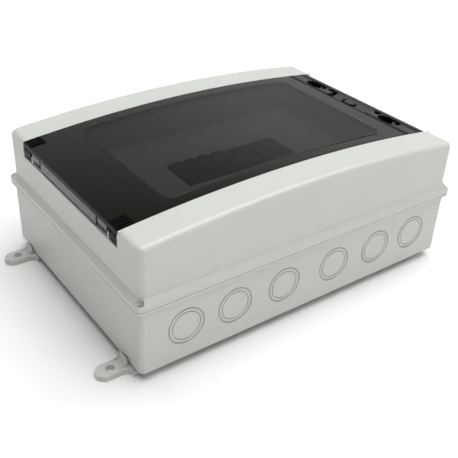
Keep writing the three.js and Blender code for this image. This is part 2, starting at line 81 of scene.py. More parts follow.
def addCamera():
    lens = bpy.data.cameras.new("camera")
    lens.lens = viewpoint["lens"]
    lens.sensor_width = viewpoint["sensor"]
    camera = bpy.data.objects.new("camera", lens)
    bpy.context.scene.collection.objects.link(camera)
    a, e, r = (math.radians(viewpoint[k]) for k in ("azimuth", "elevation", "roll"))
    back = Vector((math.sin(a) * math.cos(e), -math.cos(a) * math.cos(e), math.sin(e)))
    turn = Matrix.Rotation(a, 4, "Z") @ Matrix.Rotation(math.pi / 2 - e, 4, "X") @ Matrix.Rotation(r, 4, "Z")
    place = (Vector(viewpoint["aim"]) + back * viewpoint["distance"]) * mm
    camera.matrix_world = Matrix.Translation(place) @ turn
    bpy.context.scene.camera = camera


def addSoftbox(name):
    box = studio[name]
    light = bpy.data.lights.new(name + "Softbox", "AREA")
    light.energy = box["power"]
    light.size = box["size"]
    lamp = bpy.data.objects.new(light.name, light)
    bpy.context.scene.collection.objects.link(lamp)
    place = Vector(box["place"])
    lamp.location = place
    lamp.rotation_euler = (-place).to_track_quat("-Z", "Y").to_euler()


def addSky():
    # a dim room with a paler backdrop low down behind the object, which the door mirrors
    s = studio
    world = bpy.data.worlds.new("studio")
    world.use_nodes = True
    bpy.context.scene.world = world
    tree = world.node_tree
    tree.nodes.clear()
    where = addNode(tree, "TexCoord").outputs["Generated"]
    split = addNode(tree, "SeparateXYZ", links={"Vector": where})
    low = addNode(tree, "MapRange", {"From Min": s["backdropLow"], "From Max": s["backdropHigh"],
                                     "To Min": 1, "To Max": 0},
                  {"Value": split.outputs["Z"]}, interpolation_type="SMOOTHSTEP")
    behind = addNode(tree, "VectorMath", {1: s["backdropWay"]}, {0: where}, operation="DOT_PRODUCT")
    side = addNode(tree, "MapRange", {"From Min": 0.0, "From Max": s["backdropFade"]},
                   {"Value": behind.outputs["Value"]}, interpolation_type="SMOOTHSTEP")
    paper = addNode(tree, "Math", links={0: low.outputs["Result"], 1: side.outputs["Result"]},
                    operation="MULTIPLY")
    total = addNode(tree, "Math", {1: s["backdrop"], 2: s["sky"]}, {0: paper.outputs[0]},
                    operation="MULTIPLY_ADD")
    # the room itself looks white, whatever light it gives
    seen = addNode(tree, "LightPath").outputs["Is Camera Ray"]
    shown = addNode(tree, "Math", links={0: total.outputs[0], 1: seen}, operation="MAXIMUM")
    sky = addNode(tree, "Background", {"Color": (1, 1, 1, 1)}, {"Strength": shown.outputs[0]})
    addNode(tree, "OutputWorld", links={"Surface": sky.outputs["Background"]})


def addFloor():
    s = studio
    bpy.ops.mesh.primitive_plane_add(size=2 * s["floorHalf"])
    floor = bpy.context.object
    floor.name = "floor"
    # matt paper that is lit from behind away from the object, so that it fades into the room
    paper = bpy.data.materials.new("backdropPaper")
    paper.use_nodes = True
    tree = paper.node_tree
    tree.nodes.clear()
    away = addNode(tree, "VectorMath", links={0: addNode(tree, "TexCoord").outputs["Object"]},
                   operation="LENGTH")
    glow = addNode(tree, "MapRange", {"From Min": s["glowFrom"], "From Max": s["glowTo"],
                                      "To Max": s["glow"]}, {"Value": away.outputs["Value"]})
    skin = addNode(tree, "BsdfPrincipled", {"Base Color": toLinear(s["floorColour"]),
                                            "Roughness": s["floorRough"], "Emission Color": (1, 1, 1, 1)},
                   {"Emission Strength": glow.outputs["Result"]})
    addNode(tree, "OutputMaterial", links={"Surface": skin.outputs["BSDF"]})
    floor.data.materials.append(paper)


addCamera()
addSky()
addFloor()
for name in ("key", "front"):
    addSoftbox(name)
bpy.context.scene.view_settings.view_transform = "Standard"
print("stage is set")

# materials; pattern sizes are in millimetres, and a gloss pair is the least and most roughness

moulding = {"flow": 45, "speck": 0.7, "speckShare": 0.25, "marks": 18, "marksRough": 0.65,
            "gloss": (-0.05, 0.07), "relief": 0.5, "ior": 1.55}
smoked = {"centre": (-0.5, 0), "half": (141.5, 88), "corner": 14, "fade": 2.5, "clear": 0.56, "backedAndShaded": 0.88,
          "cloud": 70, "dark": "0F0D09", "light": "1B1812", "wipe": 25, "wipeRough": 0.7,
          "gloss": (0.05, 0.13), "ripple": 30, "relief": 0.25, "depth": 0.05, "ior": 1.58}
metal = {"stretch": (0.08, 1, 1), "patch": 6, "gloss": (-0.08, 0.1), "relief": 0.4, "depth": 0.02}
foam = {"pore": 0.8, "dark": "0E0E0E", "light": "2A2A29", "relief": 0.6, "depth": 0.15, "rough": 0.85}


def grains(size, detail, **more):
    return {"Scale": 1 / (size * mm), "Detail": detail, **more}


def spread(low, high):
    # from the range where most of a noise texture's values lie
    return {"From Min": 0.3, "From Max": 0.7, "To Min": low, "To Max": high}


def startMaterial(name):
    material = bpy.data.materials.new(name)
    material.use_nodes = True
    tree = material.node_tree
    tree.nodes.clear()
    where = addNode(tree, "TexCoord").outputs["Object"]
    return material, tree, where


def finishMaterial(tree, values, colour, relief, **more):
    links = {"Base Color": colour.outputs["Result"], "Normal": relief.outputs["Normal"], **more}
    skin = addNode(tree, "BsdfPrincipled", values, links)
    addNode(tree, "OutputMaterial", links={"Surface": skin.outputs["BSDF"]})


def mouldedPlastic(name, light, dark, rough, grainSize, depth, shine=0.5):
    # injection-moulded polycarbonate or polyamide: an even colour with slight flow shades, a satin
    # skin from the eroded tool, and faint handling marks that show only in the gloss
    m = moulding
    material, tree, where = startMaterial(name)
    flow = addNode(tree, "TexNoise", grains(m["flow"], 3), {"Vector": where})
    speck = addNode(tree, "TexNoise", grains(m["speck"], 2), {"Vector": where})
    shade = addNode(tree, "Math", {1: 1 - m["speckShare"]}, {0: flow.outputs["Fac"]}, operation="MULTIPLY")
    both = addNode(tree, "Math", {1: m["speckShare"]}, {0: speck.outputs["Fac"], 2: shade.outputs[0]},
                   operation="MULTIPLY_ADD")
    colour = addNode(tree, "Mix", {"A": toLinear(dark), "B": toLinear(light)}, {"Factor": both.outputs[0]},
                     data_type="RGBA")
    marks = addNode(tree, "TexNoise", grains(m["marks"], 5, Roughness=m["marksRough"]), {"Vector": where})
    gloss = addNode(tree, "MapRange", spread(*(rough + step for step in m["gloss"])),
                    {"Value": marks.outputs["Fac"]})
    grain = addNode(tree, "TexNoise", grains(grainSize, 2), {"Vector": where})
    relief = addNode(tree, "Bump", {"Strength": m["relief"], "Distance": depth * mm},
                     {"Height": grain.outputs["Fac"]})
    finishMaterial(tree, {"IOR": m["ior"], "Specular IOR Level": shine}, colour, relief,
                   Roughness=gloss.outputs["Result"])
    return material


def smokedPolycarbonate():
    # transparent polycarbonate tinted grey-brown: polished, clear in the middle field and nearly opaque round
    # it; the opaque border is partly for the seals and thin ribs behind it and partly painted shade of the
    # tray walls under the door
    material, tree, where = startMaterial("smokedPolycarbonate")
    s = smoked
    centred = addNode(tree, "VectorMath", {1: (s["centre"][0] * mm, s["centre"][1] * mm, 0)}, {0: where},
                      operation="SUBTRACT")
    folded = addNode(tree, "VectorMath", links={0: centred.outputs[0]}, operation="ABSOLUTE")
    # the third number is so large that height never counts
    inner = ((s["half"][0] - s["corner"]) * mm, (s["half"][1] - s["corner"]) * mm, 10)
    past = addNode(tree, "VectorMath", {1: inner}, {0: folded.outputs[0]}, operation="SUBTRACT")
    outside = addNode(tree, "VectorMath", {1: (0, 0, 0)}, {0: past.outputs[0]}, operation="MAXIMUM")
    reach = addNode(tree, "VectorMath", links={0: outside.outputs[0]}, operation="LENGTH")
    # the border's opacity is partly its backing and partly painted shade from under the door
    border = addNode(tree, "MapRange", {"From Min": (s["corner"] - s["fade"]) * mm,
                                        "From Max": s["corner"] * mm, "To Min": s["clear"],
                                        "To Max": s["backedAndShaded"]}, {"Value": reach.outputs["Value"]},
                     interpolation_type="SMOOTHSTEP")
    cloud = addNode(tree, "TexNoise", grains(s["cloud"], 2), {"Vector": where})
    colour = addNode(tree, "Mix", {"A": toLinear(s["dark"]), "B": toLinear(s["light"])},
                     {"Factor": cloud.outputs["Fac"]}, data_type="RGBA")
    wipe = addNode(tree, "TexNoise", grains(s["wipe"], 6, Roughness=s["wipeRough"]), {"Vector": where})
    gloss = addNode(tree, "MapRange", spread(*s["gloss"]), {"Value": wipe.outputs["Fac"]})
    ripple = addNode(tree, "TexNoise", grains(s["ripple"], 1), {"Vector": where})
    relief = addNode(tree, "Bump", {"Strength": s["relief"], "Distance": s["depth"] * mm},
                     {"Height": ripple.outputs["Fac"]})
    finishMaterial(tree, {"IOR": s["ior"], "Specular IOR Level": 0.5}, colour, relief,
                   Roughness=gloss.outputs["Result"], Alpha=border.outputs["Result"])
    return material


def platedMetal(name, light, dark, rough, lineSize):
    # drawn or stamped metal: fine lines from the tool, with the plating slightly uneven in gloss
    m = metal
    material, tree, where = startMaterial(name)
    drawn = addNode(tree, "Mapping", {"Scale": m["stretch"]}, {"Vector": where})
    lines = addNode(tree, "TexNoise", grains(lineSize, 3), {"Vector": drawn.outputs[0]})
    patch = addNode(tree, "TexNoise", grains(m["patch"], 4), {"Vector": where})
    colour = addNode(tree, "Mix", {"A": toLinear(dark), "B": toLinear(light)},
                     {"Factor": patch.outputs["Fac"]}, data_type="RGBA")
    gloss = addNode(tree, "MapRange", spread(*(rough + step for step in m["gloss"])),
                    {"Value": lines.outputs["Fac"]})
    relief = addNode(tree, "Bump", {"Strength": m["relief"], "Distance": m["depth"] * mm},
                     {"Height": lines.outputs["Fac"]})
    finishMaterial(tree, {"Metallic": 1.0}, colour, relief, Roughness=gloss.outputs["Result"])
    return material


def foamedRubber():
    # foamed polyurethane or EPDM cord: dull black with open pores about a millimetre across
    material, tree, where = startMaterial("foamedRubber")
    pores = addNode(tree, "TexVoronoi", {"Scale": 1 / (foam["pore"] * mm)}, {"Vector": where})
    colour = addNode(tree, "Mix", {"A": toLinear(foam["dark"]), "B": toLinear(foam["light"])},
                     {"Factor": pores.outputs["Distance"]}, data_type="RGBA")
    relief = addNode(tree, "Bump", {"Strength": foam["relief"], "Distance": foam["depth"] * mm},
                     {"Height": pores.outputs["Distance"]})
    finishMaterial(tree, {"Roughness": foam["rough"]}, colour, relief)
    return material


shellPlastic = mouldedPlastic("lightGreyPolycarbonate", "CFD1CD", "C5C8C3", 0.36, 1.1, 0.05)
devicePlastic = mouldedPlastic("blackPolyamide", "2A2B2D", "1D1E20", 0.5, 0.8, 0.08)
ceramicGlaze = mouldedPlastic("glazedCeramic", "E9E5DA", "DDD8CB", 0.22, 1.5, 0.02)
indicatorGreen = mouldedPlastic("greenPolycarbonate", "3E9A4A", "2F8740", 0.3, 1.5, 0.02)
leverBlue = mouldedPlastic("dyedPolyamide", "39424C", "2C343D", 0.4, 0.8, 0.05)
blackPlastic = mouldedPlastic("blackPolycarbonate", "0B0B0B", "050505", 0.35, 0.8, 0.03, 0.06)
# the grip's plastic: its roughness is a real grain, and its grey, lighter than the door, is a painted sheen
# that stands in for the grip's reflection
grainedPlasticWithPaintedSheen = mouldedPlastic("grainedPolycarbonateWithPaintedSheen", "3F3E3A", "33322E", 0.5, 0.7, 0.06)
doorPlastic = smokedPolycarbonate()
zincSteel = platedMetal("zincPlatedSteel", "C9CCCE", "A9ACAF", 0.32, 0.35)
bareCopper = platedMetal("rolledCopper", "C98A63", "B0714B", 0.3, 0.4)
turnedBrass = platedMetal("machinedBrass", "D3B36A", "B8964C", 0.28, 0.3)
nickelCap = platedMetal("nickelPlatedCopper", "D2CEC4", "B9B4A8", 0.25, 0.5)
sealRubber = foamedRubber()
print("materials are mixed")

# modelling helpers; every place and size is in millimetres

tiny = 1e-6         # metres, the gap at which two points count as one
over = 1            # how far a cutter reaches past what it cuts
creaseAngle = 35    # degrees


def activate(obj):
    bpy.ops.object.select_all(action="DESELECT")
    obj.select_set(True)
    bpy.context.view_layer.objects.active = obj


def rename(obj, name):
    obj.name = name
    obj.data.name = name
    return obj


def settle(name):
    made = rename(bpy.context.object, name)
    bpy.ops.object.transform_apply(location=True, rotation=True, scale=True)
    return made


def upright(edge):
    a, b = (v.co for v in edge.verts)
    return (a - b).xy.length < tiny


def sharp(edge, degrees=30):
    return len(edge.link_faces) == 2 and edge.calc_face_angle() > math.radians(degrees)


def verySharp(edge):
    return sharp(edge, 60)


def atHeight(z, degrees=30):
    # a test for the sharp edges that lie level at one height
    return lambda edge: sharp(edge, degrees) and all(abs(v.co.z - z * mm) <= tiny for v in edge.verts)


def span(side, near, far):
    # from near to far on one side of the middle, the lower end first
    return sorted((side * near, side * far))


def halfOf(part, inset=0):
    return part["x"] - inset, part["y"] - inset


def editAll(obj):
    activate(obj)
    bpy.ops.object.mode_set(mode="EDIT")
    bpy.ops.mesh.select_all(action="SELECT")


def choose(obj, kind, test):
    # leaves the object in edit mode with the faces or edges selected that pass the test
    activate(obj)
    bpy.ops.object.mode_set(mode="EDIT")
    bpy.ops.mesh.select_mode(type=kind)
    bpy.ops.mesh.select_all(action="DESELECT")
    shape = bmesh.from_edit_mesh(obj.data)
    for part in (shape.faces if kind == "FACE" else shape.edges):
        part.select_set(bool(test(part)))
    bmesh.update_edit_mesh(obj.data)


def roundEdges(obj, width, segments, test):
    choose(obj, "EDGE", test)
    bpy.ops.mesh.bevel(offset=width * mm, segments=segments, profile=0.5, affect="EDGES", clamp_overlap=False)
    bpy.ops.object.mode_set(mode="OBJECT")


def stretch(obj, scale, centre):
    editAll(obj)
    bpy.ops.transform.resize(value=scale, center_override=Vector(centre) * mm)
    bpy.ops.object.mode_set(mode="OBJECT")


def addBlock(name, low, high, corner=0, segments=8):
    bpy.ops.object.select_all(action="DESELECT")
    bpy.ops.mesh.primitive_cube_add(size=1, location=[(a + b) / 2 * mm for a, b in zip(low, high)],
                                    scale=[(b - a) * mm for a, b in zip(low, high)])
    made = settle(name)
    if corner:
        roundEdges(made, corner, segments, upright)
    return made


def addCentred(name, half, bottom, top, corner=0, segments=8, at=(0, 0)):
    # a block round an upright axis
    return addBlock(name, (at[0] - half[0], at[1] - half[1], bottom), (at[0] + half[0], at[1] + half[1], top),
                    corner, segments)


def addRod(name, radius, start, end, sides=32, tip=None):
    start, end = Vector(start), Vector(end)
    bpy.ops.object.select_all(action="DESELECT")
    turn = (end - start).to_track_quat("Z", "Y").to_euler()
    bpy.ops.mesh.primitive_cone_add(radius1=radius * mm, radius2=(radius if tip is None else tip) * mm,
                                    depth=(end - start).length * mm, vertices=sides,
                                    location=(start + end) / 2 * mm, rotation=turn)
    return settle(name)


def addAcross(name, radius, at, y, sides=32):
    return addRod(name, radius, (at[0], y[0], at[1]), (at[0], y[1], at[1]), sides)


def addPost(name, radius, at, bottom, top, sides=32, tip=None):
    return addRod(name, radius, (*at, bottom), (*at, top), sides, tip)


def addRing(name, radius, thick, centre, turn=(0, 0, 0), around=72, across=8):
    bpy.ops.object.select_all(action="DESELECT")
    bpy.ops.mesh.primitive_torus_add(location=Vector(centre) * mm, rotation=turn, major_segments=around,
                                     minor_segments=across, major_radius=radius * mm, minor_radius=thick * mm)
    return settle(name)


def combine(obj, tool, operation="DIFFERENCE"):
    activate(obj)
    step = obj.modifiers.new("combine", "BOOLEAN")
    step.object = tool
    step.operation = operation
    step.solver = "MANIFOLD"
    bpy.ops.object.modifier_apply(modifier=step.name)
    bpy.data.objects.remove(tool)
    return obj


def cutAway(obj, *tools):
    for tool in tools:
        combine(obj, tool)
    return obj


def weldOn(obj, *parts):
    for part in parts:
        combine(obj, part, "UNION")
    return obj

def joinLoose(name, parts):
    bpy.ops.object.select_all(action="DESELECT")
    for part in parts:
        part.select_set(True)
    bpy.context.view_layer.objects.active = parts[0]
    bpy.ops.object.join()
    return rename(bpy.context.object, name)


def copyTo(obj, name, matrix):
    made = obj.copy()
    made.data = obj.data.copy()
    rename(made, name)
    bpy.context.scene.collection.objects.link(made)
    made.data.transform(matrix)
    return made


def copyNode(node, name):
    # a copy of a frame node, merged from its loose triangles into clean flat faces
    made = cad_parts[node].copy()
    made.data = made.data.copy()
    rename(made, name)
    for key in list(made.keys()):
        del made[key]
    made.parent = None
    bpy.context.scene.collection.objects.link(made)
    made.data.materials.clear()
    editAll(made)
    bpy.ops.mesh.remove_doubles(threshold=tiny)
    bpy.ops.mesh.dissolve_limited(angle_limit=math.radians(0.05))
    bpy.ops.object.mode_set(mode="OBJECT")
    return made


def softenEdges(obj, width, segments=3, degrees=50):
    activate(obj)
    step = obj.modifiers.new("soften", "BEVEL")
    step.width = width * mm
    step.segments = segments
    step.limit_method = "ANGLE"
    step.angle_limit = math.radians(degrees)
    step.use_clamp_overlap = True
    bpy.ops.object.modifier_apply(modifier=step.name)


def smoothShade(obj):
    activate(obj)
    bpy.ops.object.shade_smooth_by_angle(angle=math.radians(creaseAngle))
    step = obj.modifiers.new("faceNormals", "WEIGHTED_NORMAL")
    step.keep_sharp = True
    bpy.ops.object.modifier_apply(modifier=step.name)


def finishPiece(obj, material, body, *nodes):
    smoothShade(obj)
    obj.data.materials.clear()
    obj.data.materials.append(material)
    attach(obj, body)
    if nodes:
        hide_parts(*nodes)
    return obj


def finishCopy(node, name, material, body, *soft):
    # a frame node with nothing done to it but its edges softened
    piece = copyNode(node, name)
    softenEdges(piece, *soft)
    return finishPiece(piece, material, body, node)


sides = (("front", -1), ("rear", 1))
ends = (("left", -1), ("right", 1))
corners = [(side + "_" + end, sx, sy) for end, sx in ends for side, sy in sides]

# the two halves of the enclosure

ceiling = 175           # over everything, where tall cutters and uncut blocks end

shell = {
    "wall": 3,
    "base": {"x": 201.6, "y": 141.6, "corner": 6, "bottom": 9.5, "rim": 83, "top": 86.5, "heel": 3,
             "floorRound": 2, "rimRound": 1.2},
    "flange": {"x": 205, "y": 145, "corner": 5.5, "edge": 92, "foot": 0.3, "round": 0.9, "seamRound": 0.5},
    "seat": {"x": 200.3, "y": 140.3, "band": 1.8, "bottom": 84.5, "top": 90, "corner": 4.7, "inner": 3.1},
    "cover": {"x": 200.2, "y": 140.2, "corner": 8, "under": 80, "bottom": 86.8, "ledge": 98, "end": 149.2,
              "crown": 161.4, "shoulder": 5.5, "shoulderFrom": 140},
    "screw": {"x": 200.8, "y": 140.8, "face": 4.3, "faceZ": 92.6, "cup": 3.1, "lip": 0.8, "seat": 89.4,
              "hole": 2.3, "core": 2.1, "coreBottom": 83.5},
    "boss": {"x": 184, "y": 111.5, "radius": 6.4, "tip": 5.8, "bottom": 10.5, "top": 24.5, "round": 0.6,
             "bore": 2.3, "boreTop": 22},
    "web": {"off": 5, "half": (9, 0.8), "bottom": 11.5, "top": 18},
}

# each ring is a radius, half a groove's width and the facets across it
knockOut = {"rings": ((19.6, 1.2, 10), (15.7, 0.8, 8)), "around": 96, "sunk": 0.4, "z": 49.3,
            "columns": (-152, -95.5, -34, 34, 95.5, 152)}

crownRise = shell["cover"]["crown"] - shell["cover"]["end"]
crownRadius = (shell["cover"]["x"] ** 2 + crownRise ** 2) / (2 * crownRise)
crownCentre = shell["cover"]["crown"] - crownRadius
crownReach = 215


def crownAt(x, depth=0):
    return crownCentre + math.sqrt((crownRadius - depth) ** 2 - x * x)


def addCrownSlab(name, y0, y1, upper, lower, steps=64):
    # an upright strip swept along the crown, between two depths under the outer skin
    start = math.asin(-crownReach / crownRadius)
    middle = crownRadius - (upper + lower) / 2
    place = (middle * math.sin(start), (y0 + y1) / 2, crownCentre + middle * math.cos(start))
    bpy.ops.object.select_all(action="DESELECT")
    bpy.ops.mesh.primitive_plane_add(size=1, location=Vector(place) * mm,
                                     rotation=(0, start - math.pi / 2, 0))
    bpy.context.object.scale = ((lower - upper) * mm, (y1 - y0) * mm, 1)
    made = settle(name)
    editAll(made)
    bpy.ops.mesh.spin(steps=steps, angle=2 * start, center=(0, 0, crownCentre * mm), axis=(0, 1, 0))
    bpy.ops.mesh.select_all(action="SELECT")
    bpy.ops.mesh.remove_doubles(threshold=tiny / 10)
    bpy.ops.mesh.normals_make_consistent(inside=False)
    bpy.ops.object.mode_set(mode="OBJECT")
    return made


def addCrownBlock(name, x, y, bottom, upper, lower=90, corner=0, segments=8):
    # a block that keeps what lies between two depths under the crown's skin
    made = addBlock(name, (x[0], y[0], bottom), (x[1], y[1], ceiling), corner, segments)
    return combine(made, addCrownSlab("skin", y[0] - over, y[1] + over, upper, lower), "INTERSECT")


def addRim():
    # the back box's half of the joint
    f, b = shell["flange"], shell["base"]
    plate = addCentred("rim", halfOf(f), b["rim"], b["top"], f["corner"])
    roundEdges(plate, b["rimRound"], 4, atHeight(b["rim"], 60))
    roundEdges(plate, f["seamRound"], 2, atHeight(b["top"], 60))
    return plate


def addCoverFlange():
    # the cover's half: an upright edge, then a slope up to the foot of the walls
    f, c = shell["flange"], shell["cover"]
    plate = addCentred("flange", halfOf(f), c["bottom"], f["edge"], f["corner"])
    choose(plate, "FACE", lambda face: face.normal.z > 0.9)
    bpy.ops.mesh.extrude_region_move(TRANSFORM_OT_translate={"value": (0, 0, (c["ledge"] - f["edge"]) * mm)})
    bpy.ops.transform.resize(value=((c["x"] + f["foot"]) / f["x"], (c["y"] + f["foot"]) / f["y"], 1),
                             center_override=(0, 0, c["ledge"] * mm))
    bpy.ops.object.mode_set(mode="OBJECT")
    roundEdges(plate, f["round"], 4, atHeight(f["edge"], 20))
    roundEdges(plate, f["seamRound"], 2, atHeight(c["bottom"], 60))
    return plate


def addBackBox():
    b, s, w = shell["base"], shell["seat"], shell["wall"]
    body = addCentred("backBox", halfOf(b), b["bottom"], b["rim"] + over, b["corner"])
    roundEdges(body, b["heel"], 5, atHeight(b["bottom"]))
    weldOn(body, addRim())
    room = addCentred("room", halfOf(b, w), b["bottom"] + w, b["top"] + over, b["corner"] - w, 5)
    roundEdges(room, b["floorRound"], 3, atHeight(b["bottom"] + w))
    cutAway(body, room)
    seat = addCentred("seat", halfOf(s), s["bottom"], s["top"], s["corner"], 6)
    core = addCentred("seatCore", halfOf(s, s["band"]), s["bottom"] - over, s["top"] + over, s["inner"], 6)
    cutAway(seat, core)
    cutAway(body, seat)
    p, g, t = shell["boss"], shell["web"], shell["screw"]
    for _, sx, sy in corners:
        at = (sx * p["x"], sy * p["y"])
        post = addPost("boss", p["radius"], at, p["bottom"], p["top"], 40, tip=p["tip"])
        roundEdges(post, p["round"], 3, verySharp)
        weldOn(body, post)
        for step in (-1, 1):    # stiffening webs on the floor beside each boss
            beside = (at[0] + step * g["off"], at[1])
            weldOn(body, addCentred("web", g["half"], g["bottom"], g["top"], at=beside))
        cutAway(body, addPost("bore", p["bore"], at, b["bottom"] - over, p["boreTop"], 24),
                addPost("core", t["core"], (sx * t["x"], sy * t["y"]), t["coreBottom"], b["top"] + over, 24))
    rings = []
    for sy in (-1, 1):
        for x in knockOut["columns"]:
            centre = (x, sy * (b["y"] - knockOut["sunk"]), knockOut["z"])
            for radius, groove, across in knockOut["rings"]:
                rings.append(addRing("ring", radius, groove, centre, (math.pi / 2, 0, 0),
                                     knockOut["around"], across))
    cutAway(body, joinLoose("rings", rings))
    return finishPiece(body, shellPlastic, "root", "back_box")


addBackBox()
print("back box is made")

doorBed = {"y": 102.7, "depth": 3.6, "lip": 0.7}
tray = {"left": -178, "right": 186, "y": 92, "corner": 12, "floor": 119.5, "foot": 2}
seal = {"out": 3.6, "in": 1, "depth": 1.5, "low": 100}
hingeLine = {"x": -195.5, "z": 136.5, "pin": 1.5, "bore": 1.56, "hole": (82, 107.4), "troughRight": -189.5,
             "troughFloor": 131.1, "troughWide": 6, "ear": (82.8, 85.3), "earRadius": 3.6}
lockShelf = {"z": 139.2, "wide": 2, "in": 4.5}
moduleWindow = {"half": (73, 25), "corner": 1.5, "bottom": 110, "top": 125}
closing = {"x": 176.5, "y": 63}
keeper = {"back": 9, "half": 11, "bottom": 127, "top": 130, "corner": 2, "hole": 4.4, "slot": (7.5, 2)}


def addTray(grow, low, upper, lower=90):
    t = tray
    return addCrownBlock("tray", (t["left"] - grow, t["right"] + grow), (-t["y"] - grow, t["y"] + grow), low,
                         upper, lower, t["corner"] + grow)


def addFrontCover():
    c, w, h, e = shell["cover"], shell["wall"], hingeLine, doorBed
    x, y = halfOf(c)
    body = addCrownBlock("frontCover", (-x, x), (-y, y), c["bottom"], 0, corner=c["corner"])
    roundEdges(body, c["shoulder"], 6,
               lambda edge: sharp(edge) and all(v.co.z > c["shoulderFrom"] * mm for v in edge.verts))
    room = addCrownBlock("room", (w - x, x - w), (w - y, y - w), c["under"], w, corner=c["corner"] - w)
    flange = addCoverFlange()
    cutAway(flange, addCentred("core", halfOf(c, w), c["under"], c["ledge"] + over, c["corner"] - w))
    cutAway(body, room)
    weldOn(body, flange)
    bed = addCrownBlock("bed", (over - x, x - over), (-e["y"] - w, e["y"] + w), tray["floor"], 0,
                        e["depth"] + w)
    wide = e["y"] + h["troughWide"]
    trough = addCrownBlock("trough", (over - x, h["troughRight"] + w), (-wide, wide), h["troughFloor"] - w, w)
    wide = e["y"] + lockShelf["wide"]
    step = addCrownBlock("step", (tray["right"], x - over), (-wide, wide), lockShelf["z"] - w, w)
    weldOn(body, bed, trough, step, addTray(w, tray["floor"] - w, e["depth"] + 0.01))

    doorRoom = addCrownSlab("doorRoom", -e["y"], e["y"], -20, e["depth"])
    inside = addTray(0, tray["floor"], -20)
    roundEdges(inside, tray["foot"], 4, atHeight(tray["floor"], 60))
    hingeRoom = addBlock("hingeRoom", (-crownReach, -e["y"], h["troughFloor"]),
                         (h["troughRight"], e["y"], ceiling))
    lockRoom = addBlock("lockRoom", (tray["right"] + lockShelf["in"], -e["y"], lockShelf["z"]),
                        (crownReach, e["y"], ceiling))
    window = moduleWindow
    opening = addCentred("opening", window["half"], window["bottom"], window["top"], window["corner"], 4)
    sealLine = combine(addTray(seal["out"], seal["low"], 0, e["depth"] + seal["depth"]),
                       addTray(seal["in"], seal["low"] - over, -20))
    cutAway(body, doorRoom, inside, hingeRoom, lockRoom, opening, sealLine)

    for sy in (-1, 1):
        y0, y1 = span(sy, *h["ear"])
        ear = addAcross("ear", h["earRadius"], (h["x"], h["z"]), (y0, y1), 40)
        weldOn(ear, addBlock("earFoot", (h["x"] - h["earRadius"], y0, h["troughFloor"] - over),
                             (h["x"] + h["earRadius"], y1, h["z"])))
        weldOn(body, ear)
        cutAway(body, addAcross("pinHole", h["bore"], (h["x"], h["z"]), span(sy, *h["hole"]), 24))
        at = (closing["x"], sy * closing["y"])
        k = keeper
        plate = addBlock("keeper", (at[0] - k["back"], at[1] - k["half"], k["bottom"]),
                         (tray["right"] + over, at[1] + k["half"], k["top"]), k["corner"], 4)
        low, high = k["bottom"] - over, k["top"] + over
        cutAway(plate, addPost("keyHole", k["hole"], at, low, high),
                addCentred("slot", k["slot"], low, high, at=at))
        weldOn(body, plate)
    t = shell["screw"]
    for _, sx, sy in corners:
        at = (sx * t["x"], sy * t["y"])
        cup = addPost("face", t["face"], at, t["faceZ"], c["ledge"] + over, 48)
        weldOn(cup, addPost("cup", t["cup"], at, t["seat"], c["ledge"], 48),
               addPost("cupLip", t["cup"], at, t["faceZ"] - t["lip"] / 2, t["faceZ"] + t["lip"] / 2, 48,
                       tip=t["cup"] + t["lip"]))
        cutAway(cup, addCentred("wall", halfOf(c), c["under"], ceiling, c["corner"]))
        cutAway(body, cup, addPost("screwHole", t["hole"], at, c["under"], t["seat"] + over, 24))
    roundEdges(body, e["lip"], 3, lambda edge: verySharp(edge) and all(
        abs(abs(v.co.y) - e["y"] * mm) < 10 * tiny and v.co.z > (crownAt(v.co.x / mm) - 0.6) * mm
        for v in edge.verts))
    return finishPiece(body, shellPlastic, "cover", "front_cover")


addFrontCover()
print("front cover is made")

# the door and what it turns and locks on

door = {
    "left": -199.8, "right": 192.2, "y": 101.8, "thick": 3, "low": 120,
    "field": {"x": (-143, 142), "y": 89, "corner": 15, "proud": 0.6, "round": 0.55},
    "skirt": {"inset": 0.6, "thick": 2.5, "top": 144.4, "bottom": 133.5, "shortBottom": 137.6, "long": 61,
              "short": (64, 82.2)},
    "edge": {"bar": 3, "lip": 5, "up": 1},
    "arm": {"y": (86, 101.8), "knuckle": 4.2, "inset": 0.3, "right": 3.2},
    "hollow": {"rows": (90.2, 97.6), "half": 2.6, "up": 4.4, "down": 3, "deep": 1.1},
    "earRoom": {"y": (82.3, 85.9), "right": 5, "up": 6},
    "shadeRib": {"columns": (-150.5, -154.8), "half": 0.6, "y": 86, "deep": 3},
    "lockRail": {"x": (164, 185.6), "y": 81, "bottom": 137, "corner": 2, "up": 2},
    "well": {"halfX": 9.2, "halfY": 16.5, "floor": 139, "foot": 1.2, "bore": 3.2},
    "grip": {"radius": 15, "y": 33, "z": 162.2},
    "pocket": {"x": (177, 184.6), "y": (32.5, 45), "floor": 141, "corner": 2.2},
    "eye": {"off": 3, "y": 6, "z": 148, "radius": 5.4, "thick": 1, "stretch": (0.95, 1.85, 1.1), "gap": 6},
    "patch": {"x": (-199.7, -181), "y": (84, 101.7), "proud": 0.3, "corner": 1.5},
    "bead": {"x": (-197.5, -183), "rows": (87, 91.5, 97.5), "half": 0.6, "proud": 0.9},
}
doorTop = shell["cover"]["end"] - 1         # inside the panel at both ends, where hanging parts start


